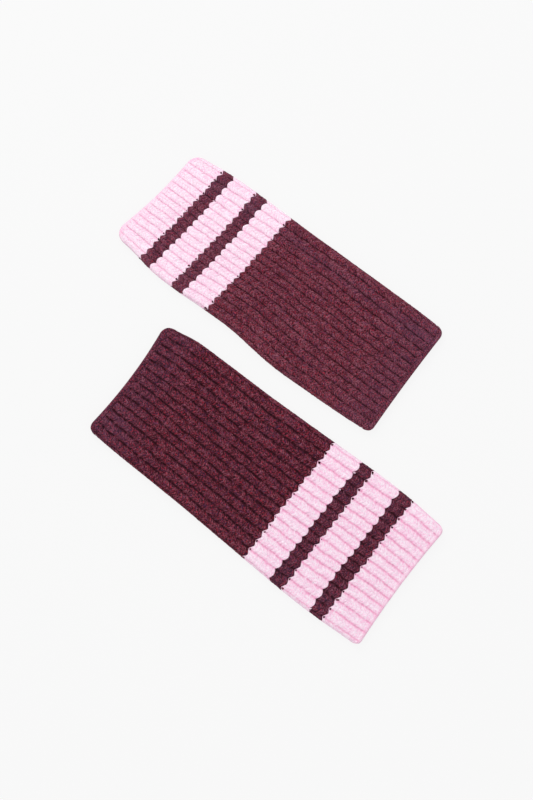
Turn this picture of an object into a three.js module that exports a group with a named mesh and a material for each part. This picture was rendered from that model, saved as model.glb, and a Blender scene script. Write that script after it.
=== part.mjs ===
// A pair of knitted arm warmers, laid flat side by side with their striped cuffs at opposite ends.
//
// Each warmer is one tube of 1x1 rib, open at both ends and flattened, so that its two layers lie on
// each other with a thin space between them. It is knitted round in one go, from the cast-on edge of
// the pink cuff to the bind-off edge of the burgundy body, and each stretch of one yarn is a ring.
//
// Millimetres, +Z up. The origin is the middle of the pair's footprint, on the surface it lies on.

import * as THREE from 'three';

// ---- Driving dimensions ------------------------------------------------------------------------

const WALL = 3.0; // one layer of rib, measured at a rib's crest
const SLOT = 1.0; // height of the space inside the flattened tube
const RIBS = 30; // knit ribs round the whole tube, half of them on each face
const GROOVE_WIDTH = 2.6; // mouth of the groove between two ribs
const GROOVE_DEPTH = 1.1; // how far the purl column at its bottom lies below the crests
const YARN_GAP = 0.3; // space between two stretches of yarn
const LEAST_SPACING = 3.0; // a section closer than this to a stretch's end gets no ring of its own

const FAR_BEARING = -36.5; // degrees that the far warmer's cuff-to-body axis is turned from +X
const NEAR_BEARING = 142; // the same for the near one, whose cuff points the other way
const FAR_CUFF = { x: -80.0, y: 144.3 }; // middle of the far warmer's cast-on edge
const NEAR_CUFF = { x: 94.7, y: -132.7 }; // middle of the near warmer's cast-on edge

// ---- Yarns -------------------------------------------------------------------------------------

const yarn = (color) => () => new THREE.MeshStandardMaterial({ color, roughness: 0.95, metalness: 0 });
const pinkYarn = yarn(0xf6cfe2);
const burgundyYarn = yarn(0x5c2936);

// ---- The two warmers ---------------------------------------------------------------------------
//
// sections: the outline of the flattened tube. along is the distance from the cast-on edge on the
// axis; left and right are how far the two folds lie from the axis, looking from cuff to body; lean is
// how far the left fold's end of the knitted row runs ahead of the axis, and the right one's behind;
// bow is how far both ends of the row run ahead of its middle.
//
// stretches: the yarn changes, with from and to as distances along the axis.
//
// corners: how far each mouth's edge is rounded back at its two folds.

const farWarmer = {
  name: 'far',
  sections: [
    { along: 0, left: 42.9, right: 40.4, lean: 6.2, bow: 0 },
    { along: 20, left: 44.4, right: 41.8, lean: 5.4, bow: 0 },
    { along: 36, left: 45.6, right: 42.9, lean: 4.7, bow: 0 },
    { along: 56, left: 46.3, right: 43.4, lean: 4.3, bow: 0 },
    { along: 81, left: 46.5, right: 42.9, lean: 3.8, bow: 0 },
    { along: 106, left: 46.6, right: 43.2, lean: 2.6, bow: 0 },
    { along: 123, left: 46.7, right: 45.2, lean: 1.6, bow: 0 },
    { along: 141, left: 47.0, right: 46.7, lean: 0.9, bow: 0 },
    { along: 168, left: 47.2, right: 46.1, lean: 0.3, bow: 0 },
    { along: 196, left: 47.2, right: 45.1, lean: 0, bow: 0 },
    { along: 223, left: 46.8, right: 43.6, lean: 0, bow: -0.4 },
  ],
  stretches: [
    { name: 'cuff_end', from: 0, to: 22.6, yarn: pinkYarn },
    { name: 'stripe_outer', from: 22.6, to: 33.0, yarn: burgundyYarn },
    { name: 'cuff_middle', from: 33.0, to: 51.6, yarn: pinkYarn },
    { name: 'stripe_inner', from: 51.6, to: 62.0, yarn: burgundyYarn },
    { name: 'cuff_top', from: 62.0, to: 81.6, yarn: pinkYarn },
    { name: 'body', from: 81.6, to: 223.0, yarn: burgundyYarn },
  ],
  corners: { castOnLeft: 6.5, castOnRight: 9, bindOffLeft: 4.5, bindOffRight: 4.5 },
};

const nearWarmer = {
  name: 'near',
  sections: [
    { along: 0, left: 52.3, right: 52.4, lean: -1.2, bow: -1.2 },
    { along: 19, left: 53.2, right: 53.6, lean: -0.8, bow: -0.4 },
    { along: 41, left: 54.1, right: 54.1, lean: -0.4, bow: 0 },
    { along: 62, left: 53.9, right: 53.7, lean: 0, bow: 0 },
    { along: 84, left: 53.5, right: 53.0, lean: 0.2, bow: 0 },
    { along: 119, left: 52.7, right: 52.1, lean: 0.3, bow: 0 },
    { along: 155, left: 51.0, right: 50.8, lean: 0, bow: 0.4 },
    { along: 192, left: 50.1, right: 50.1, lean: -0.2, bow: 1.0 },
    { along: 220, left: 49.5, right: 48.8, lean: -0.4, bow: 1.8 },
    { along: 243.6, left: 48.8, right: 46.0, lean: -0.5, bow: 2.6 },
  ],
  stretches: [
    { name: 'cuff_end', from: 0, to: 28.6, yarn: pinkYarn },
    { name: 'stripe_outer', from: 28.6, to: 39.8, yarn: burgundyYarn },
    { name: 'cuff_middle', from: 39.8, to: 65.0, yarn: pinkYarn },
    { name: 'stripe_inner', from: 65.0, to: 75.4, yarn: burgundyYarn },
    { name: 'cuff_top', from: 75.4, to: 100.0, yarn: pinkYarn },
    { name: 'body', from: 100.0, to: 243.6, yarn: burgundyYarn },
  ],
  corners: { castOnLeft: 5.5, castOnRight: 5.5, bindOffLeft: 5, bindOffRight: 7 },
};

// ---- The flattened tube ------------------------------------------------------------------------

const FOLD_RADIUS = WALL + SLOT / 2; // outer radius of the two side folds
const HALF_TURN = Math.PI * FOLD_RADIUS; // outside of one fold

// The outline's measures at a distance along the axis, straight between two rows of the table.
function sectionAt(sections, along) {
  const next = sections.findIndex((row, i) => i > 0 && row.along >= along);
  const last = next < 0 ? sections.length - 1 : next;
  const a = sections[last - 1];
  const b = sections[last];
  const t = (along - a.along) / (b.along - a.along);
  const mix = (key) => THREE.MathUtils.lerp(a[key], b[key], t);
  return { along, left: mix('left'), right: mix('right'), lean: mix('lean'), bow: mix('bow') };
}

// A point of the flattened loop, in the plane across the tube: share runs from 0 at the left fold,
// over the upper face to 0.5 at the right fold, and back under to 1; inset is measured inwards.
function loopPoint(section, share, inset) {
  const radius = FOLD_RADIUS - inset;
  const flat = section.left + section.right - 2 * FOLD_RADIUS;
  const distance = (share % 1) * 2 * (flat + HALF_TURN);
  const leftCentre = section.left - FOLD_RADIUS;
  const rightCentre = FOLD_RADIUS - section.right;
  const upperStart = HALF_TURN / 2;
  const rightStart = upperStart + flat;
  const lowerStart = rightStart + HALF_TURN;
  const leftStart = lowerStart + flat;
  if (distance < upperStart) return foldPoint(leftCentre, radius, distance / FOLD_RADIUS);
  if (distance < rightStart) return { y: leftCentre - (distance - upperStart), z: FOLD_RADIUS + radius };
  if (distance < lowerStart) {
    return foldPoint(rightCentre, radius, Math.PI / 2 + (distance - rightStart) / FOLD_RADIUS);
  }
  if (distance < leftStart) return { y: rightCentre + (distance - lowerStart), z: FOLD_RADIUS - radius };
  return foldPoint(leftCentre, radius, -Math.PI / 2 + (distance - leftStart) / FOLD_RADIUS);
}

// A point on a fold; angle is 0 at the left fold's middle and grows over the top to the right.
function foldPoint(centre, radius, angle) {
  return { y: centre + radius * Math.cos(angle), z: FOLD_RADIUS + radius * Math.sin(angle) };
}

// How far the mouth's edge stands back at a point across the tube, a quarter circle at each fold.
function setBack(y, section, leftCorner, rightCorner) {
  const corner = y > 0 ? leftCorner : rightCorner;
  const reach = y > 0 ? y - (section.left - corner) : -y - (section.right - corner);
  if (reach <= 0) return 0;
  const part = Math.min(reach / corner, 1);
  return corner * (1 - Math.sqrt(1 - part * part));
}

// One ring of the wall: for each rib the groove's bottom and the two edges of the crest on the outside,
// and one point under the groove on the inside.
function wallRing(section, edgeShift) {
  const round = 2 * (section.left + section.right - 2 * FOLD_RADIUS + HALF_TURN);
  const grooveShare = GROOVE_WIDTH / 2 / round;
  const place = (share, inset) => {
    const { y, z } = loopPoint(section, share, inset);
    const q = y > 0 ? y / section.left : y / section.right;
    const x = section.along + section.lean * q + section.bow * q * q + edgeShift(y, section);
    return new THREE.Vector3(x, y, z);
  };
  const outer = [];
  const inner = [];
  for (let rib = 0; rib < RIBS; rib++) {
    const start = rib / RIBS;
    const end = (rib + 1) / RIBS;
    outer.push(place(start, GROOVE_DEPTH));
    outer.push(place(start + grooveShare, 0));
    outer.push(place(end - grooveShare, 0));
    inner.push(place(start, WALL));
  }
  return { outer, inner };
}

// A stretch of the tube: rings joined by an outer and an inner skin, and closed by a rim at each end.
function tubeGeometry(rings) {
  const perRib = rings[0].outer.length / RIBS;
  const outerCount = rings[0].outer.length;
  const ringSize = outerCount + RIBS;
  const points = rings.flatMap((ring) => [...ring.outer, ...ring.inner]);
  const outerAt = (ring, i) => ring * ringSize + (i % outerCount);
  const innerAt = (ring, i) => ring * ringSize + outerCount + (i % RIBS);
  const faces = [];
  const quad = (a, b, c, d) => faces.push(a, b, c, a, c, d);
  const last = rings.length - 1;
  for (let ring = 0; ring < last; ring++) {
    for (let i = 0; i < outerCount; i++) {
      quad(outerAt(ring, i), outerAt(ring, i + 1), outerAt(ring + 1, i + 1), outerAt(ring + 1, i));
    }
    for (let i = 0; i < RIBS; i++) {
      quad(innerAt(ring, i + 1), innerAt(ring, i), innerAt(ring + 1, i), innerAt(ring + 1, i + 1));
    }
  }
  for (let rib = 0; rib < RIBS; rib++) {
    const first = rib * perRib;
    faces.push(innerAt(0, rib), outerAt(0, first + 1), outerAt(0, first));
    quad(innerAt(0, rib), innerAt(0, rib + 1), outerAt(0, first + 2), outerAt(0, first + 1));
    faces.push(innerAt(0, rib + 1), outerAt(0, first + 3), outerAt(0, first + 2));
    faces.push(innerAt(last, rib), outerAt(last, first), outerAt(last, first + 1));
    quad(innerAt(last, rib), outerAt(last, first + 1), outerAt(last, first + 2), innerAt(last, rib + 1));
    faces.push(innerAt(last, rib + 1), outerAt(last, first + 2), outerAt(last, first + 3));
  }
  const geometry = new THREE.BufferGeometry().setFromPoints(points);
  geometry.setIndex(faces);
  geometry.computeVertexNormals();
  return geometry;
}

// One stretch of yarn, with a ring at each end and at each section of the table between them.
function stretchMesh(warmer, stretch) {
  const { sections, corners, name } = warmer;
  const length = sections[sections.length - 1].along;
  const castOn = stretch.from === 0;
  const bindOff = stretch.to === length;
  const from = castOn ? 0 : stretch.from + YARN_GAP / 2;
  const to = bindOff ? length : stretch.to - YARN_GAP / 2;
  const between = sections.filter(
    (row) => row.along > from + LEAST_SPACING && row.along < to - LEAST_SPACING,
  );
  const stations = [from, ...between.map((row) => row.along), to];
  const castOnShift = (y, section) => setBack(y, section, corners.castOnLeft, corners.castOnRight);
  const bindOffShift = (y, section) => -setBack(y, section, corners.bindOffLeft, corners.bindOffRight);
  const noShift = () => 0;
  const rings = stations.map((along, i) => {
    const first = castOn && i === 0;
    const final = bindOff && i === stations.length - 1;
    const shift = first ? castOnShift : final ? bindOffShift : noShift;
    return wallRing(sectionAt(sections, along), shift);
  });
  const mesh = new THREE.Mesh(tubeGeometry(rings), stretch.yarn());
  mesh.name = `${name}_${stretch.name}`;
  return mesh;
}

function warmerGroup(warmer, cuff, bearing) {
  const group = new THREE.Group();
  for (const stretch of warmer.stretches) group.add(stretchMesh(warmer, stretch));
  group.position.set(cuff.x, cuff.y, 0);
  group.rotation.z = THREE.MathUtils.degToRad(bearing);
  return group;
}

// ---- The pair ----------------------------------------------------------------------------------

const pair = new THREE.Group();
pair.add(warmerGroup(farWarmer, FAR_CUFF, FAR_BEARING));
pair.add(warmerGroup(nearWarmer, NEAR_CUFF, NEAR_BEARING));

const footprint = new THREE.Box3().setFromObject(pair, true);
const middle = footprint.getCenter(new THREE.Vector3());
pair.position.set(-middle.x, -middle.y, -footprint.min.z);

export default pair;
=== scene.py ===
"""A pair of knitted arm warmers, laid flat side by side: the visible model.

Each warmer is a flattened tube of 1x1 rib in a heathered burgundy yarn, with a pale pink cuff crossed by
two burgundy stripes. Every stretch of one yarn is a closed wall of knitting with its own surface: ribs,
the two slanting legs of every stitch, the sunken purl columns between the ribs, and the rounded edges.

Lengths are in millimetres where a name ends in _mm or _MM or a table says so, and in metres in the meshes.
"""
from collections import namedtuple

import bpy
import numpy as np
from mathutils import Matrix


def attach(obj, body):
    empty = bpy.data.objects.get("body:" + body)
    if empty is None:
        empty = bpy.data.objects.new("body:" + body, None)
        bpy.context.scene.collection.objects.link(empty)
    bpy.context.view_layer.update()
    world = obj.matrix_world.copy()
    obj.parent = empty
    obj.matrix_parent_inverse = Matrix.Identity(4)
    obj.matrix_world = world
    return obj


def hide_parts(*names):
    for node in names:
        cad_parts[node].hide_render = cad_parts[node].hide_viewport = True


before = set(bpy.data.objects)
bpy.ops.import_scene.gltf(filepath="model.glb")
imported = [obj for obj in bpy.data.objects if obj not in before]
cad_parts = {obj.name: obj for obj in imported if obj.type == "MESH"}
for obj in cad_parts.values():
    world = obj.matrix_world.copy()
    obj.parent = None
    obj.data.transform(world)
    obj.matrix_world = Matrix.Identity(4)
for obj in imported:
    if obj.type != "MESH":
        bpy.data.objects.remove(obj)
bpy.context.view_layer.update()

MM = 0.001

# ---- The two warmers -----------------------------------------------------------------------------

WALL_MM = 3.0  # one layer of rib, at a rib's crest
LEAST_WALL_MM = 0.5  # of it, under the deepest relief
SLOT_MM = 1.0  # space inside the flattened tube
FOLD_MM = WALL_MM + SLOT_MM / 2  # outer radius of the two side folds
RIBS = 30  # round the whole tube
UPPER_RIBS = RIBS // 2  # the ones that face up
RIB_MM = 6.8  # about the width of one rib

# Outline of the flattened tube, in millimetres: along is the distance from the cast-on edge on the axis,
# left and right the distance of the folds from the axis, lean and bow how the knitted rows slant and curve,
# and turn how many ribs the knitting has turned round the tube.
Section = namedtuple("Section", "along left right lean bow turn")
# One yarn from one colour change to the next, in millimetres along the axis and in knitted rows.
Stretch = namedtuple("Stretch", "name start end rows hand")
# How far each mouth is rounded back at its two folds, in millimetres.
Corners = namedtuple("Corners", "cast_on_left cast_on_right bind_off_left bind_off_right")
# cuff is where the cast-on edge crosses the axis, in millimetres, and bearing the way the tube runs from
# there, in degrees from X towards Y. shade is painted shade: how much darker the yarn of each kind of
# stretch is painted, below 0 how much lighter, for how brightly that warmer and stretch are lit. Next comes
# how strong the painted shade in the grooves is, and dusk how purple the burgundy is along the second and
# third ribs from the left fold. seed picks the warmer's own random fields.
Warmer = namedtuple("Warmer", "name cuff bearing sections stretches corners shade hollow dusk seed")
SIDES = ("left", "right")

FAR = Warmer(
    name="far",
    cuff=(-79.08, 144.56),
    bearing=-36.5,
    sections=[
        Section(0, 43.5, 39.1, 7.1, -2.5, -0.20),
        Section(20, 45.1, 41.0, 5.8, -1.0, -0.22),
        Section(36, 46.1, 43.5, 5.4, -1.0, -0.26),
        Section(56, 46.6, 44.2, 5.2, -1.0, -0.39),
        Section(81, 46.5, 43.4, 5.2, -0.8, -0.54),
        Section(106, 46.5, 43.4, 3.7, -0.4, -0.66),
        Section(123, 46.8, 45.4, 2.5, 0, -0.73),
        Section(141, 47.0, 47.0, 1.4, 0, -0.80),
        Section(168, 47.2, 46.5, 0.6, 0, -0.68),
        Section(196, 47.4, 45.6, 0.1, 0, -0.54),
        Section(221.6, 47.0, 44.3, 0, 0.8, -0.50),
    ],
    stretches=[
        Stretch("cuff_end", 0.6, 23.5, 9, "cuff"),
        Stretch("stripe_outer", 23.5, 32.6, 4, "stripe"),
        Stretch("cuff_middle", 32.6, 52.2, 7, "cuff"),
        Stretch("stripe_inner", 52.2, 61.5, 4, "stripe"),
        Stretch("cuff_top", 61.5, 82.1, 8, "cuff"),
        Stretch("body", 82.1, 221.6, 54, "body"),
    ],
    corners=Corners(9, 12, 6.5, 6),
    # shade: painted light, this warmer's yarn painted a little lighter, its stripes most
    shade={"cuff": -0.1, "stripe": -0.35, "body": -0.05},
    hollow=0.62,
    dusk=0.5,
    seed=11,
)

NEAR = Warmer(
    name="near",
    cuff=(95.62, -132.44),
    bearing=142,
    sections=[
        Section(0, 52.5, 52.3, -1.2, -2.0, -0.25),
        Section(19, 53.5, 53.6, -0.8, -0.7, -0.27),
        Section(41, 54.5, 54.4, -0.4, 0, -0.36),
        Section(62, 54.5, 54.2, 0, 0, -0.46),
        Section(84, 53.8, 53.3, 0.2, 0, -0.58),
        Section(119, 52.4, 51.8, 0.3, 0, -0.68),
        Section(155, 51.0, 50.4, 0, 0.4, -0.61),
        Section(192, 50.3, 49.8, -0.2, 1.0, -0.54),
        Section(220, 49.8, 48.9, -0.4, 1.8, -0.47),
        Section(242.2, 49.0, 45.8, -0.9, 3.2, -0.40),
    ],
    stretches=[
        Stretch("cuff_end", 0.9, 30.1, 10, "cuff"),
        Stretch("stripe_outer", 30.1, 41.3, 4, "stripe"),
        Stretch("cuff_middle", 41.3, 65.4, 9, "cuff"),
        Stretch("stripe_inner", 65.4, 76.0, 4, "stripe"),
        Stretch("cuff_top", 76.0, 100.6, 9, "cuff"),
        Stretch("body", 100.6, 242.2, 52, "body"),
    ],
    corners=Corners(5.5, 5.5, 7, 9),
    # shade: painted shade, this warmer's yarn painted darker, its stripes and body most
    shade={"cuff": 0.1, "stripe": 0.9, "body": 0.8},
    hollow=1.0,
    dusk=0.2,
    seed=29,
)

# ---- The knitting --------------------------------------------------------------------------------

OPEN_AT_CAST_ON = 0.25  # share of a groove's depth that is left at the cast-on edge
GROOVE_UNEVEN = 0.3  # how much deeper or shallower a groove gets along its length, as a share of it
CREASE_UNEVEN = 0.4  # the same from one crease between two rows to the next
CALM_POWER = 40  # power of a cosine: the higher, the narrower the calm strip over a fold
SPINE_MM = 0.3  # depth of the faint line where a stitch's two legs meet
SPINE_WIDTH = 0.13  # its half width, in half ribs
PURL_MM = 0.5  # height of the purl bars at the bottom of a groove
EDGE_MM = 0.8  # how far the rounded rim of a mouth stands out
CAST_ON_RIM_SHADE = 0.28  # painted shade along the cast-on edge, as a share of the grooves' painted shade
CHAIN_MM = 0.6  # depth of the crease between the bound-off chain and the ribs' ends
LINK_MM = 0.12  # how far the links of that chain rise and fall
POINTED_MEAN = 0.52  # mean over a rib of a pointed row line's formula
FINGERTIP_MEAN = 0.21  # and of a rounded one's
TIP_UNEVEN_MM = 0.45  # how much one tip reaches further than the next
LEG_UNEVEN_MM = 0.3  # how much one leg of a stitch lies further on than the next
WANDER_RIBS = 0.075  # how far a rib strays sideways over its length
JOG_RIBS = 0.05  # how far one row of it lies aside of the next
WANDER_MM = 19.0  # length over which a rib strays to one side
CORNER_MM = 26.0  # length behind a mouth over which the rows take up its rounded corners
SWELL_MM = 0.45  # how far the top of the cloth lifts and sinks
SWELL_SPAN_MM = (34, 26)  # length and width of one swell
DUSK_MM = 46.0  # the stretch before the bound-off edge where the burgundy turns purple
DUSK_AT_END = 0.5  # how purple it is at that edge
DUSK_BAND = (0.155, 0.06)  # middle and half width of the purple band, as shares of the upper face
CROWD = 0.07  # share by which the ribs lie closer in the middle of a face, and wider apart at its folds
SEAM_MM = 0.08  # half the space left between two yarns

# How each yarn knits up. groove_mm: depth of the groove between two ribs. leg_mm: depth of the crease
# between two rows of stitches. lump_mm: how unevenly the stitches stand up. Next, how strong the painted
# shade in the grooves is. dusk: how purple the yarn is. Where the yarn starts, its first stitches reach up
# to tip_mm further towards the cuff's end at a rib's crest than in the grooves, in tips that are pointed
# (round
# 0) or rounded like a fingertip (round 1).
Hand = namedtuple("Hand", "yarn groove_mm leg_mm lump_mm hollow dusk tip_mm round")
HANDS = {
    "cuff": Hand(
        "pink", groove_mm=0.9, leg_mm=0.30, lump_mm=0.13, hollow=1.0, dusk=0.0, tip_mm=2.5, round=0.7
    ),
    "stripe": Hand(
        "burgundy", groove_mm=0.8, leg_mm=0.6, lump_mm=0.4, hollow=1.0, dusk=0.5, tip_mm=2.2, round=0.0
    ),
    "body": Hand(
        "burgundy", groove_mm=1.4, leg_mm=0.45, lump_mm=0.28, hollow=1.25, dusk=0.0, tip_mm=2.2, round=0.0
    ),
}

# Beads of one yarn in the grooves of the stretch before it: the share of the grooves that have one, how far
# they lie from the colour change towards the cuff's end, how far their middles stand above the groove's
# bottom, and how much of the grooves' painted shade they get.
Dots = namedtuple("Dots", "share below_mm proud_mm depth")
DOTS = {
    "burgundy": Dots(share=0.85, below_mm=1.05, proud_mm=0.45, depth=0.6),
    "pink": Dots(share=0.1, below_mm=0.9, proud_mm=0.2, depth=0.0),
}
DOT_MM = (0.9, 0.95, 0.6)  # half widths of a bead across, along and up
DOT_SIDES = 8
DOT_RINGS = 6
DOT_STRAY_MM = (0.25, 0.2)  # how far beads stray across and along: a standard deviation
DOT_DOME_MM = 0.05  # least height of a bead's top over its sides
FEWEST_DOTS = 3
UV_APART = 100  # rows of the map to one step of a warmer's seed, so that the two warmers' yarns differ

# Where the mesh has its columns across a rib, from groove to groove, its lines across a row, and its lines
# through the wall at a rim, with the share of EDGE_MM by which each stands out.
UPPER_COLUMNS = np.array([0, 0.03, 0.09, 0.19, 0.31, 0.43, 0.5, 0.57, 0.69, 0.81, 0.91, 0.97])
LOWER_COLUMNS = np.array([0, 0.1, 0.3, 0.7, 0.9])
ROW_LINES = np.array([0, 0.13, 0.32, 0.5, 0.68, 0.87])
RIM_LINES = np.array([0.2, 0.5, 0.8])
RIM_ROUND = np.array([0.4, 1.0, 0.4])
NOISE_ROWS = 256  # whole steps in y after which a random field repeats


def lattice_noise(x, y, seed, wrap):
    """Smooth random field from -1 to 1: random values at whole x and y, blended between them by
    3t^2 - 2t^3. It repeats every wrap in x, so it closes round a tube."""
    table = np.random.default_rng(seed).uniform(-1, 1, (wrap, NOISE_ROWS))
    x_floor, y_floor = np.floor(x).astype(int), np.floor(y).astype(int)
    tx, ty = x - x_floor, y - y_floor
    tx, ty = tx * tx * (3 - 2 * tx), ty * ty * (3 - 2 * ty)
    x0, x1 = x_floor % wrap, (x_floor + 1) % wrap
    y0, y1 = y_floor % NOISE_ROWS, (y_floor + 1) % NOISE_ROWS
    near = table[x0, y0] * (1 - tx) + table[x1, y0] * tx
    far = table[x0, y1] * (1 - tx) + table[x1, y1] * tx
    return near * (1 - ty) + far * ty


def smooth_between(x, xs, ys):
    """A curve through the points (xs, ys): cubic pieces whose slope at each point is a mean of the slopes
    on its two sides, the shorter side's weighing more, so that it has no corner."""
    xs, ys = np.asarray(xs, float), np.asarray(ys, float)
    slopes = np.gradient(ys, xs)
    i = np.clip(np.searchsorted(xs, x) - 1, 0, len(xs) - 2)
    width = xs[i + 1] - xs[i]
    t = (x - xs[i]) / width
    start, end = ys[i], ys[i + 1]
    return (
        (1 + 2 * t) * (1 - t) ** 2 * start
        + t * (1 - t) ** 2 * width * slopes[i]
        + t * t * (3 - 2 * t) * end
        + t * t * (t - 1) * width * slopes[i + 1]
    )


def fade(x, start, end):
    """0 up to start, 1 from end on, and 3t^2 - 2t^3 between them."""
    t = np.clip((x - start) / (end - start), 0, 1)
    return t * t * (3 - 2 * t)


def loop_point(share, inset, left, right):
    """Point across the flattened tube: share of the way round, from the left fold's middle over the
    upper face (0.5 is the right fold's middle) and back under, at inset inside the outline. The loop is
    two straight runs joined by half circles of radius FOLD_MM."""
    flat = left + right - 2 * FOLD_MM
    half_turn = np.pi * FOLD_MM
    way = (share % 1) * 2 * (flat + half_turn)
    radius = FOLD_MM - inset
    left_centre, right_centre = left - FOLD_MM, FOLD_MM - right
    top, right_fold = half_turn / 2, half_turn / 2 + flat
    bottom, left_fold = right_fold + half_turn, right_fold + half_turn + flat
    angle = np.select(
        [way < top, way < right_fold, way < bottom, way < left_fold],
        [way / FOLD_MM, np.pi / 2, np.pi / 2 + (way - right_fold) / FOLD_MM, 3 * np.pi / 2],
        (way - left_fold) / FOLD_MM - np.pi / 2,
    )
    centre = np.select(
        [way < top, way < right_fold, way < bottom, way < left_fold],
        [left_centre, left_centre - (way - top), right_centre, right_centre + (way - bottom)],
        left_centre,
    )
    return centre + radius * np.cos(angle), FOLD_MM + radius * np.sin(angle)


def corner_set_back(y, left, right, left_corner, right_corner):
    """How far a mouth's edge stands back at y: a quarter circle at each fold, r (1 - sqrt(1 - p^2)) with p
    the share of the corner's radius r that y has gone into it."""
    corner = np.where(y > 0, left_corner, right_corner)
    reach = np.where(y > 0, y - (left - left_corner), -y - (right - right_corner))
    part = np.clip(reach / corner, 0, 1)
    return corner * (1 - np.sqrt(1 - part * part))


def warmer_facts(warmer):
    """The place of the bound-off edge in millimetres along the axis, the number of rows, and the rows and
    places where the yarn changes, with both edges."""
    rows = np.cumsum([0] + [s.rows for s in warmer.stretches])
    places = np.array([s.start for s in warmer.stretches] + [warmer.stretches[-1].end])
    return places[-1], rows[-1], rows, places


def tube_share(warmer, along, rib_place):
    """Share of the way round the tube at a place in ribs: with t the place in faces, from the left fold,
    half of t + CROWD sin(2 pi t) / (2 pi)."""
    turn = np.interp(along, [s.along for s in warmer.sections], [s.turn for s in warmer.sections])
    t = (rib_place + turn) / UPPER_RIBS
    return (t + CROWD * np.sin(2 * np.pi * t) / (2 * np.pi)) / 2


def rib_relief(phase, row, rib, warmer, hand, row_count):
    """Depth of the knitted surface below the ribs' crests, in millimetres, and the share of it that is
    groove. phase runs from 0 to 1 across a rib, and u is 0 at its crest and 1 at the grooves.
    Rib: 1 - sqrt(1 - u^2.5). Legs: each row is a rounded ridge, (1 - |2t - 1|^2.4)^0.7 with t from 0 to 1
    across the row. Spine: a narrow dip, exp(-(u / SPINE_WIDTH)^2). Purl bars: a bump in every row at the
    groove's bottom. The grooves run out at both mouths, two creases along the bound-off edge leave a
    chain of links, and the stitches lie more evenly over the folds."""
    u = np.abs(2 * phase - 1)
    t = row % 1
    stitch_row = np.floor(row)
    seed = warmer.seed
    to_bind_off = row_count - row
    leg = rib * 2.0 + (phase > 0.5)
    open_rib = OPEN_AT_CAST_ON + (1 - OPEN_AT_CAST_ON) * fade(row, 0.0, 1.0)
    open_rib = open_rib * fade(to_bind_off, 0.85, 1.7)
    _, _, rows, places = warmer_facts(warmer)
    way_round = tube_share(warmer, np.interp(row, rows, places), rib + phase)
    calm = np.abs(np.cos(2 * np.pi * way_round)) ** CALM_POWER
    arch = 1 - np.sqrt(np.clip(1 - u**2.5, 0, 1))
    deeper = 1 + GROOVE_UNEVEN * lattice_noise(rib + phase, row / 5.0, seed + 1, RIBS)
    groove_depth = hand.groove_mm * deeper
    ridge = (1 - np.abs(2 * t - 1) ** 2.4) ** 0.7
    uneven = 1 + CREASE_UNEVEN * lattice_noise(leg, stitch_row, seed + 2, 2 * RIBS)
    leg_depth = hand.leg_mm * uneven * (0.75 + 0.6 * u * u) * (1 - 0.6 * calm)
    spine = SPINE_MM * np.exp(-((u / SPINE_WIDTH) ** 2))
    purl = PURL_MM * fade(u, 0.8, 1.0) * (0.5 - 0.5 * np.cos(2 * np.pi * (row + 0.35)))
    lump = hand.lump_mm * lattice_noise(leg, stitch_row, seed + 3, 2 * RIBS)
    soft = 0.5 * hand.lump_mm * lattice_noise((rib + phase) * 3, row * 1.3, seed + 4, 3 * RIBS)
    chain = CHAIN_MM * np.exp(-(((to_bind_off - 1) / 0.17) ** 2))
    chain_line = 0.4 * CHAIN_MM * np.exp(-(((to_bind_off - 0.42) / 0.13) ** 2))
    links = LINK_MM * np.cos(4 * np.pi * (rib + phase)) * (1 - fade(to_bind_off, 0.7, 1.0))
    groove = arch * open_rib * (1 - 0.5 * calm)
    depth = groove_depth * groove + leg_depth * (1 - ridge) + (spine - purl) * open_rib
    depth = depth + (lump + soft) * ridge * (1 - 0.7 * calm) + chain + chain_line + links + LINK_MM
    return np.clip(depth, 0.0, WALL_MM - LEAST_WALL_MM), groove


def row_line(u, row, rib_place, warmer, to_edge):
    """How far a row's line lies from its middle, along the axis in millimetres, at u across a rib. The
    line is a blend of sqrt(u^2 + 0.01), two straight legs with a point at the crest, and
    1 - sqrt(1 - (0.98 u)^2), a round fingertip, each less its mean, and every tip differs a little."""
    _, _, rows, _ = warmer_facts(warmer)
    hands = [HANDS[s.hand] for s in warmer.stretches]
    hands = hands + hands[-1:]
    roundness = np.interp(row, rows, [hand.round for hand in hands])
    reach = np.interp(row, rows, [hand.tip_mm for hand in hands])
    pointed = np.sqrt(u * u + 0.01) - POINTED_MEAN
    fingertip = 1 - np.sqrt(1 - (0.98 * u) ** 2) - FINGERTIP_MEAN
    tip = lattice_noise(rib_place - 0.5, row / 1.7, warmer.seed + 8, RIBS)
    leg = lattice_noise(rib_place * 2 - 0.5, row, warmer.seed + 10, 2 * RIBS)
    shape = ((1 - roundness) * pointed + roundness * fingertip) * reach
    return (shape + TIP_UNEVEN_MM * tip + LEG_UNEVEN_MM * leg) * fade(to_edge, 0.6, 2.6)


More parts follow.
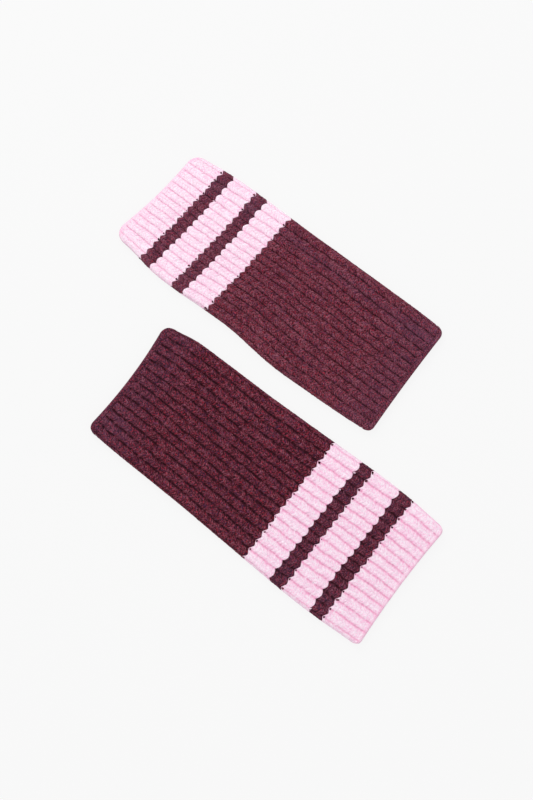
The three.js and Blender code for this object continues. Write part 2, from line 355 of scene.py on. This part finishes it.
def place_points(warmer, row, rib, phase, inset, push=0.0):
    """Points in metres, in the frame, at a knitted row, rib and phase across it, inset millimetres inside
    the outline: the tube's outline and the rows' lines as the warmer's table has them, its rounded
    corners, and a slow swell of the whole cloth. push moves points out along the axis at a mouth."""
    length, row_count, rows, places = warmer_facts(warmer)
    to_edge = np.minimum(row, row_count - row)
    u = np.abs(2 * phase - 1)
    along = np.interp(row, rows, places) + row_line(u, row, rib + phase, warmer, to_edge)
    sections = warmer.sections
    stations = [s.along for s in sections]
    left, right, lean, bow = (
        smooth_between(along, stations, [getattr(s, key) for s in sections])
        for key in ("left", "right", "lean", "bow")
    )
    two_ribs = rib * 0.5 + phase * 0.5
    wander = WANDER_RIBS * lattice_noise(two_ribs, along / WANDER_MM, warmer.seed + 5, RIBS // 2)
    jog = JOG_RIBS * lattice_noise(rib + phase, row / 1.3, warmer.seed + 9, RIBS)
    share = tube_share(warmer, along, rib + phase + (wander + jog) * fade(to_edge, 0, 4))
    y, z = loop_point(share, inset, left, right)
    q = np.where(y > 0, y / left, y / right)
    corners = warmer.corners
    at_cuff = corner_set_back(y, left, right, corners.cast_on_left, corners.cast_on_right)
    at_top = corner_set_back(y, left, right, corners.bind_off_left, corners.bind_off_right)
    x = along + lean * q + bow * q * q + push
    x = x + at_cuff * (1 - fade(along, 0, CORNER_MM)) - at_top * (1 - fade(length - along, 0, CORNER_MM))
    waves = lattice_noise(x / SWELL_SPAN_MM[0] + 40, y / SWELL_SPAN_MM[1] + 40, warmer.seed + 6, 97)
    z = z + SWELL_MM * waves * z / (2 * FOLD_MM)
    turn = np.radians(warmer.bearing)
    world_x = warmer.cuff[0] + x * np.cos(turn) - y * np.sin(turn)
    world_y = warmer.cuff[1] + x * np.sin(turn) + y * np.cos(turn)
    return np.stack([world_x, world_y, z], -1) * MM


def mesh_from_grid(name, points, uv, fields):
    """A closed tube wall from points[line, column]: both directions join up. uv has one more line and
    column than points, so that the map doesn't turn back where the grid closes. fields are values at the
    points, each kept as an attribute of its own name."""
    lines, columns = points.shape[:2]
    index = np.arange(lines * columns).reshape(lines, columns)
    across, onward = np.roll(index, -1, 1), np.roll(index, -1, 0)
    both = np.roll(across, -1, 0)
    quads = np.stack([index, onward, both, across], -1).reshape(-1, 4)
    quad_uv = np.stack([uv[:-1, :-1], uv[1:, :-1], uv[1:, 1:], uv[:-1, 1:]], 2)
    mesh = bpy.data.meshes.new(name)
    mesh.vertices.add(lines * columns)
    mesh.vertices.foreach_set("co", points.reshape(-1))
    mesh.loops.add(quads.size)
    mesh.loops.foreach_set("vertex_index", quads.reshape(-1).astype(np.int32))
    mesh.polygons.add(len(quads))
    mesh.polygons.foreach_set("loop_start", np.arange(0, quads.size, 4, dtype=np.int32))
    mesh.polygons.foreach_set("use_smooth", np.ones(len(quads), bool))
    mesh.uv_layers.new(name="stitches").data.foreach_set("uv", quad_uv.reshape(-1))
    for field, values in fields.items():
        mesh.attributes.new(field, "FLOAT", "POINT").data.foreach_set("value", values.reshape(-1))
    mesh.update(calc_edges=True)
    mesh.validate()
    return mesh


def signed_volume(mesh):
    """Volume inside a closed mesh, negative where its faces point inwards: a sixth of the sum of
    a . (b x c) over its triangles."""
    mesh.calc_loop_triangles()
    corners = np.empty(len(mesh.loop_triangles) * 3, np.int32)
    mesh.loop_triangles.foreach_get("vertices", corners)
    co = np.empty(len(mesh.vertices) * 3, np.float32)
    mesh.vertices.foreach_get("co", co)
    a, b, c = co.reshape(-1, 3)[corners.reshape(-1, 3)].transpose(1, 0, 2).astype(float)
    return np.einsum("ij,ij->", a, np.cross(b, c)) / 6


def dusk_of(warmer, row, rib_place):
    """How purple the burgundy is, from 0 to 1: rising to DUSK_AT_END over the last DUSK_MM before the
    bound-off edge, and along a soft band, exp(-x^2), beside the left fold."""
    length, _, rows, places = warmer_facts(warmer)
    along = np.interp(row, rows, places)
    aside = (2 * tube_share(warmer, along, rib_place) - DUSK_BAND[0]) / DUSK_BAND[1]
    at_end = DUSK_AT_END * fade(along, length - DUSK_MM, length - DUSK_MM / 4)
    return np.clip(at_end + warmer.dusk * np.exp(-aside * aside), 0, 1)


def knitted_stretch(warmer, stretch):
    """One stretch of yarn as a closed wall: the knitted outside, a rim, the plain inside in wider steps,
    and the other rim. Its map runs on over the rims, a row's length across each."""
    _, row_count, rows, _ = warmer_facts(warmer)
    number = warmer.stretches.index(stretch)
    first, last = int(rows[number]), int(rows[number + 1])
    gap = SEAM_MM / (stretch.end - stretch.start) * stretch.rows
    start = first + (0 if first == 0 else gap)
    end = last - (0 if last == row_count else gap)
    lines = (np.arange(first, last)[:, None] + ROW_LINES).ravel()
    outside = np.concatenate([[start], lines[1:], [end]])
    inside = np.linspace(end, start, stretch.rows // 2 + 1)
    end_push = EDGE_MM if last == row_count else 0.0
    start_push = -EDGE_MM if first == 0 else 0.0
    at_rim = np.ones(len(RIM_LINES))
    row = np.concatenate([outside, end * at_rim, inside, start * at_rim])
    through = np.concatenate([outside * 0, RIM_LINES, inside * 0 + 1, RIM_LINES[::-1]])
    push = np.concatenate([outside * 0, end_push * RIM_ROUND, inside * 0, start_push * RIM_ROUND])
    upper = (np.arange(UPPER_RIBS + 1)[:, None] + UPPER_COLUMNS).ravel()
    lower = (np.arange(UPPER_RIBS + 1, RIBS)[:, None] + LOWER_COLUMNS).ravel()
    column = np.concatenate([upper, lower])
    row_grid, rib_grid = np.meshgrid(row, np.floor(column), indexing="ij")
    phase_grid = np.broadcast_to(column % 1, row_grid.shape)
    depth, groove = rib_relief(phase_grid, row_grid, rib_grid, warmer, HANDS[stretch.hand], row_count)
    share = through[:, None]
    inset = depth * (1 - share) + WALL_MM * share
    points = place_points(warmer, row_grid, rib_grid, phase_grid, inset, push[:, None])
    turned, back = end + 1, end + 1 + end - start
    u_map = np.append(column, RIBS)
    v_map = np.concatenate([outside, end + RIM_LINES, turned + end - inside, back + RIM_LINES, [back + 1]])
    v_map = v_map + UV_APART * warmer.seed
    uv = np.stack(np.meshgrid(v_map, u_map, indexing="ij")[::-1], -1)
    half = rib_grid * 2 + (phase_grid > 0.5)
    # each half stitch's own random tone, less the shade painted on its warmer and stretch
    tone = lattice_noise(half, np.floor(row_grid), warmer.seed + 7, 2 * RIBS) - warmer.shade[stretch.hand]
    # painted shade in the grooves, and along the cast-on rim
    hollow = groove * warmer.hollow * HANDS[stretch.hand].hollow
    hollow = hollow + CAST_ON_RIM_SHADE * (1 - fade(row_grid, 0.1, 0.9))
    dusk = HANDS[stretch.hand].dusk + dusk_of(warmer, row_grid, rib_grid + phase_grid)
    name = f"{warmer.name}_{stretch.name}_knit"
    mesh = mesh_from_grid(name, points, uv, {"groove": hollow, "tone": tone, "dusk": dusk})
    if signed_volume(mesh) < 0:
        mesh.flip_normals()
    return piece_from(mesh)


def purl_dots(warmer, stretch):
    """The purl bars of a stretch's first row that show in the grooves of the stretch before it, as a
    bead in a groove each: an ellipsoid of the half widths DOT_MM, from its lowest ring to its highest,
    wrapped over the groove's bottom. Grooves near the folds are likelier to have one, and a larger one."""
    _, row_count, rows, _ = warmer_facts(warmer)
    number = warmer.stretches.index(stretch)
    dots = DOTS[HANDS[stretch.hand].yarn]
    random = np.random.default_rng([warmer.seed, number])
    near_fold = np.cos(np.pi * np.arange(RIBS) / UPPER_RIBS) ** 2
    count = max(FEWEST_DOTS, round(RIBS * dots.share * warmer.hollow))
    chosen = np.sort(np.argsort(-random.uniform(0, 1, RIBS) - 0.6 * near_fold)[:count])
    near_fold = near_fold[chosen][:, None, None]
    size = random.uniform(0.7, 1.0, (count, 1, 1)) * (0.7 + 0.45 * near_fold)
    before = warmer.stretches[number - 1]
    row_mm = (before.end - before.start) / before.rows
    below = dots.below_mm + random.normal(0, DOT_STRAY_MM[1], (count, 1, 1))
    aside = random.normal(0, DOT_STRAY_MM[0], (count, 1, 1))
    turn = np.linspace(0, 2 * np.pi, DOT_SIDES, endpoint=False)[None, None, :]
    rise = np.linspace(-np.pi / 2, np.pi / 2, DOT_RINGS)[None, :, None]
    across = size * DOT_MM[0] * np.cos(rise) * np.cos(turn) + aside
    along = size * DOT_MM[1] * np.cos(rise) * np.sin(turn) - below
    up = size * DOT_MM[2] * np.sin(rise) + 0 * turn
    rib_place = chosen[:, None, None] + across / RIB_MM
    row = rows[number] + along / row_mm
    groove_row = np.broadcast_to(rows[number] - below / row_mm, row.shape)
    rib, phase = np.floor(rib_place), rib_place % 1
    bottom = np.zeros(row.shape)
    ground, _ = rib_relief(bottom, groove_row, rib, warmer, HANDS[before.hand], row_count)
    inset = np.maximum(ground - dots.proud_mm - up, 0.0)
    points = place_points(warmer, row, rib, phase, inset + DOT_DOME_MM * np.cos(rise))
    uv = np.stack([rib_place, row + UV_APART * warmer.seed], -1)
    return bead_piece(f"{warmer.name}_{stretch.name}_purls", points, uv, dots.depth)


def bead_piece(name, points, uv, depth):
    """Closed beads from points[bead, ring, side]: the first and the last ring of each are one point.
    depth is their share of the grooves' painted shade."""
    beads, rings, sides = points.shape[:3]
    inner = rings - 2
    index = np.arange(inner * sides).reshape(inner, sides) + 1
    onward = np.roll(index, -1, 1)
    top = inner * sides + 1
    foot = np.stack([np.zeros(sides, int), onward[0], index[0]], -1)
    head = np.stack([np.full(sides, top), index[-1], onward[-1]], -1)
    low, low_on, high, high_on = index[:-1], onward[:-1], index[1:], onward[1:]
    first = np.stack([low, low_on, high_on], -1).reshape(-1, 3)
    second = np.stack([low, high_on, high], -1).reshape(-1, 3)
    faces = np.concatenate([foot, first, second, head])
    each = top + 1
    faces = (faces[None] + each * np.arange(beads)[:, None, None]).reshape(-1, 3)
    middle = points[:, 1:-1].reshape(beads, -1, 3)
    vertices = np.concatenate([points[:, 0, :1], middle, points[:, -1, :1]], 1).reshape(-1, 3)
    middle_uv = uv[:, 1:-1].reshape(beads, -1, 2)
    vertex_uv = np.concatenate([uv[:, 0, :1], middle_uv, uv[:, -1, :1]], 1).reshape(-1, 2)
    mesh = bpy.data.meshes.new(name)
    mesh.from_pydata(vertices, [], faces.tolist())
    mesh.polygons.foreach_set("use_smooth", np.ones(len(faces), bool))
    mesh.uv_layers.new(name="stitches").data.foreach_set("uv", vertex_uv[faces.reshape(-1)].reshape(-1))
    # the beads get their share of the grooves' painted shade, and no tone or dusk
    for attribute, value in (("groove", depth), ("tone", 0.0), ("dusk", 0.0)):
        values = np.full(len(vertices), value)
        mesh.attributes.new(attribute, "FLOAT", "POINT").data.foreach_set("value", values)
    mesh.update()
    if signed_volume(mesh) < 0:
        mesh.flip_normals()
    return piece_from(mesh)


def piece_from(mesh):
    """A mesh as an object of the same name in the scene."""
    piece = bpy.data.objects.new(mesh.name, mesh)
    bpy.context.scene.collection.objects.link(piece)
    return piece


# ---- Yarns ---------------------------------------------------------------------------------------


class Nodes:
    """Adds nodes to a material: node(type, inputs, settings) returns the node."""

    def __init__(self, material):
        material.use_nodes = True
        self.tree = material.node_tree
        self.tree.nodes.clear()

    def node(self, kind, inputs=None, **settings):
        made = self.tree.nodes.new(kind)
        for key, value in settings.items():
            setattr(made, key, value)
        for key, value in (inputs or {}).items():
            if isinstance(value, bpy.types.NodeSocket):
                self.tree.links.new(value, made.inputs[key])
            else:
                made.inputs[key].default_value = value
        return made

    def ramp(self, value, stops):
        """The colour at value on a ramp of (place, colour) stops."""
        made = self.node("ShaderNodeValToRGB", {"Fac": value})
        points = made.color_ramp.elements
        while len(points) < len(stops):
            points.new(0.5)
        for point, (place, colour) in zip(points, stops):
            point.position = place
            point.color = (*colour, 1)
        return made.outputs["Color"]

    def noise(self, uv, cells, place, detail):
        """Soft random blotches, cells[0] of them to a rib and cells[1] to a row, from their own place."""
        placed = {"Vector": uv, "Scale": (*cells, 1), "Location": (place, place, place)}
        mapped = self.node("ShaderNodeMapping", placed)
        inputs = {"Vector": mapped.outputs["Vector"], "Scale": 1.0, "Detail": detail, "Roughness": 0.6}
        return self.node("ShaderNodeTexNoise", inputs).outputs["Fac"]

    def step(self, value, low, high, most):
        """0 up to low, rising smoothly to most at high."""
        inputs = {"Value": value, "From Min": low, "From Max": high, "To Min": 0.0, "To Max": most}
        return self.node("ShaderNodeMapRange", inputs, interpolation_type="SMOOTHSTEP").outputs["Result"]

    def mix(self, share, first, second):
        """The first colour at share 0, the second at 1. The node's sockets are known by their numbers."""
        made = self.node("ShaderNodeMix", data_type="RGBA", blend_type="MIX", clamp_factor=True)
        for key, value in ((0, share), (6, first), (7, second)):
            if isinstance(value, bpy.types.NodeSocket):
                self.tree.links.new(value, made.inputs[key])
            else:
                made.inputs[key].default_value = value
        return made.outputs[2]


def linear(red, green, blue):
    """A screen colour of 0 to 255 as the linear values that a shader takes."""
    c = np.array([red, green, blue]) / 255
    return tuple(float(v) for v in np.where(c <= 0.04045, c / 12.92, ((c + 0.055) / 1.055) ** 2.4))


# tones: the marl's main colours, each at its level of the noise. specks: flecks of other fibres, as
# (rib, row) cells, the noise's place, the level above which they show, their strength and their colour.
# dusk_share: how much of the dusk's colour there is at its strongest. The painted shade in the grooves has
# its colour, its share at its strongest, and a rise, from where to where in the groove attribute it comes
# in.
# dashes: between which levels of a noise the painted groove shade rises, so that it comes in dashes.
Look = namedtuple(
    "Look",
    "tones specks dusk_colour dusk_share groove_colour groove_rise groove_share dashes sheen_tint",
)
GRAIN_SHARE = 0.60  # of the fine noise in the marl, the rest being the coarse one
TONE_AND_SHADE_STEP = 0.038  # how far a stitch's random offset and painted shade move the marl's level
SPECK_EDGE = 0.07  # levels over which a fleck comes in
STRAND_HEIGHT = 1.6  # of the strands over the single fibres
BUMP_METRES = 0.0004


def yarn_material(name, look):
    """A soft spun yarn of mixed fibres: a marl of tones that each stitch's own random offset and its
    painted shade shift, flecks, the dusk's colour, painted shade in the grooves in dashes, and the relief
    of strands and single fibres."""
    material = bpy.data.materials.new(name)
    n = Nodes(material)
    uv = n.node("ShaderNodeUVMap", uv_map="stitches").outputs["UV"]
    tone = n.node("ShaderNodeAttribute", attribute_name="tone", attribute_type="GEOMETRY")
    blotches = n.noise(uv, (4.4, 2.4), 0, detail=2.0)
    grain = n.noise(uv, (7.4, 4.2), 5, detail=3.0)
    both = n.node("ShaderNodeMix", {0: GRAIN_SHARE, 2: blotches, 3: grain}).outputs[0]
    # the marl's level, moved by each stitch's random offset and its painted shade
    shift = {0: tone.outputs["Fac"], 1: TONE_AND_SHADE_STEP, 2: both}
    marl = n.node("ShaderNodeMath", shift, operation="MULTIPLY_ADD")
    colour = n.ramp(marl.outputs[0], look.tones)
    for cells, offset, level, strength, speck_colour in look.specks:
        share = n.step(n.noise(uv, cells, offset, detail=1.5), level, level + SPECK_EDGE, strength)
        colour = n.mix(share, colour, (*speck_colour, 1))
    dusk = n.node("ShaderNodeAttribute", attribute_name="dusk", attribute_type="GEOMETRY")
    colour = n.mix(n.step(dusk.outputs["Fac"], 0, 1, look.dusk_share), colour, (*look.dusk_colour, 1))
    # painted shade: a darker colour in the grooves, along the cast-on rim and on the beads, in dashes
    groove = n.node("ShaderNodeAttribute", attribute_name="groove", attribute_type="GEOMETRY")
    dashes = n.step(n.noise(uv, (1.4, 0.8), 61, detail=2.0), *look.dashes, 1.0)
    painted_groove_shade = n.node(
        "ShaderNodeMath",
        {0: n.step(groove.outputs["Fac"], *look.groove_rise, look.groove_share), 1: dashes},
        operation="MULTIPLY",
    )
    colour = n.mix(painted_groove_shade.outputs[0], colour, (*look.groove_colour, 1))
    strands = n.noise(uv, (2.0, 12.0), 17, detail=3.0)
    fibres = n.noise(uv, (34.0, 34.0), 23, detail=3.0)
    height = n.node("ShaderNodeMath", {0: strands, 1: STRAND_HEIGHT, 2: fibres}, operation="MULTIPLY_ADD")
    relief = {"Height": height.outputs[0], "Strength": 0.6, "Distance": BUMP_METRES}
    bump = n.node("ShaderNodeBump", relief)
    shader = n.node(
        "ShaderNodeBsdfPrincipled",
        {
            "Base Color": colour,
            "Roughness": 0.95,
            "Specular IOR Level": 0.1,
            "Sheen Weight": 0.15,
            "Sheen Roughness": 0.6,
            "Sheen Tint": (*look.sheen_tint, 1),
            "Normal": bump.outputs["Normal"],
        },
    )
    n.node("ShaderNodeOutputMaterial", {"Surface": shader.outputs["BSDF"]})
    return material


YARNS = {
    "burgundy": yarn_material(
        "heathered_burgundy_yarn",
        Look(
            tones=[
                (0.39, linear(32, 2, 12)),
                (0.447, linear(76, 18, 32)),
                (0.50, linear(107, 46, 60)),
                (0.553, linear(125, 66, 80)),
                (0.615, linear(144, 89, 104)),
            ],
            specks=[
                ((6.4, 2.9), 31, 0.555, 0.9, linear(26, 22, 26)),
                ((5.2, 2.3), 47, 0.58, 0.70, linear(158, 34, 54)),
                ((3.1, 1.7), 71, 0.57, 0.30, linear(74, 44, 90)),
                ((0.9, 0.09), 83, 0.60, 0.20, linear(48, 26, 50)),
            ],
            dusk_colour=linear(82, 62, 88),
            dusk_share=0.27,
            # painted shade in the grooves
            groove_colour=linear(38, 3, 14),
            groove_rise=(0.1, 0.63),
            groove_share=0.95,
            dashes=(0.34, 0.57),
            sheen_tint=linear(200, 130, 150),
        ),
    ),
    "pink": yarn_material(
        "pale_pink_yarn",
        Look(
            tones=[
                (0.39, linear(243, 186, 217)),
                (0.465, linear(245, 211, 231)),
                (0.525, linear(247, 224, 238)),
                (0.61, linear(250, 236, 246)),
            ],
            specks=[
                ((7.0, 3.0), 31, 0.60, 0.35, linear(236, 216, 236)),
                ((6.0, 2.8), 47, 0.58, 0.50, linear(250, 184, 212)),
            ],
            dusk_colour=linear(250, 216, 235),
            dusk_share=0.0,
            # painted shade in the grooves, a deeper pink
            groove_colour=linear(240, 122, 178),
            groove_rise=(0.0, 0.68),
            groove_share=0.56,
            dashes=(0.24, 0.5),
            sheen_tint=linear(255, 240, 248),
        ),
    ),
}

# ---- The pieces ----------------------------------------------------------------------------------


def build_warmer(warmer):
    """All the stretches of one warmer, each standing for its own solid, which it hides, with the beads that
    the next one leaves in its grooves. It also works out the outline's two widths at each stretch's middle,
    which nothing uses."""
    stations = [s.along for s in warmer.sections]
    for stretch, onward in zip(warmer.stretches, [*warmer.stretches[1:], None]):
        piece = knitted_stretch(warmer, stretch)
        dress(piece, HANDS[stretch.hand].yarn)
        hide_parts(f"{warmer.name}_{stretch.name}")
        dots = [purl_dots(warmer, onward)] if onward else []
        for beads in dots:
            dress(beads, HANDS[onward.hand].yarn)
        middle = (stretch.start + stretch.end) / 2
        left, right = (
            np.interp(middle, stations, [getattr(s, side) for s in warmer.sections]) for side in SIDES
        )


def dress(piece, yarn):
    """Gives a piece its yarn and lets it ride on the one body there is."""
    piece.data.materials.append(YARNS[yarn])
    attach(piece, "root")


def studio():
    """A plain pale floor, a broad soft light from behind, an even sky and a camera straight above."""
    mesh = bpy.data.meshes.new("floor")
    reach = 3.0
    corners = [(-reach, -reach, 0), (reach, -reach, 0), (reach, reach, 0), (-reach, reach, 0)]
    mesh.from_pydata(corners, [], [(0, 1, 2, 3)])
    floor = bpy.data.objects.new("floor", mesh)
    bpy.context.scene.collection.objects.link(floor)
    material = bpy.data.materials.new("pale_floor")
    n = Nodes(material)
    pale = {
        "Base Color": (0.06, 0.06, 0.06, 1),
        "Roughness": 1.0,
        "Specular IOR Level": 0.0,
        "Emission Color": (1, 1, 1, 1),
        "Emission Strength": 0.875,
    }
    shader = n.node("ShaderNodeBsdfPrincipled", pale)
    n.node("ShaderNodeOutputMaterial", {"Surface": shader.outputs["BSDF"]})
    mesh.materials.append(material)

    world = bpy.data.worlds.new("studio")
    bpy.context.scene.world = world
    world.use_nodes = True
    world.node_tree.nodes["Background"].inputs["Color"].default_value = (1, 1, 1, 1)
    world.node_tree.nodes["Background"].inputs["Strength"].default_value = 0.887

    light = bpy.data.lights.new("softbox", "AREA")
    light.shape = "RECTANGLE"
    light.size = 0.9
    light.size_y = 0.7
    light.energy = 7
    softbox = bpy.data.objects.new("softbox", light)
    softbox.location = (-0.25, 0.8, 0.9)
    softbox.rotation_euler = (-softbox.location).to_track_quat("-Z", "Y").to_euler()
    bpy.context.scene.collection.objects.link(softbox)

    data = bpy.data.cameras.new("camera")
    camera = bpy.data.objects.new("camera", data)
    bpy.context.scene.collection.objects.link(camera)
    view_height = 4 / 7  # metres of the floor from the bottom of the picture to its top
    distance = 2.2
    data.sensor_fit = "VERTICAL"
    data.sensor_height = 36
    data.lens = data.sensor_height * distance / view_height
    camera.location = (0.0006, 0.0005, distance)
    bpy.context.scene.camera = camera
    bpy.context.scene.view_settings.view_transform = "Standard"


build_warmer(FAR)
build_warmer(NEAR)
studio()
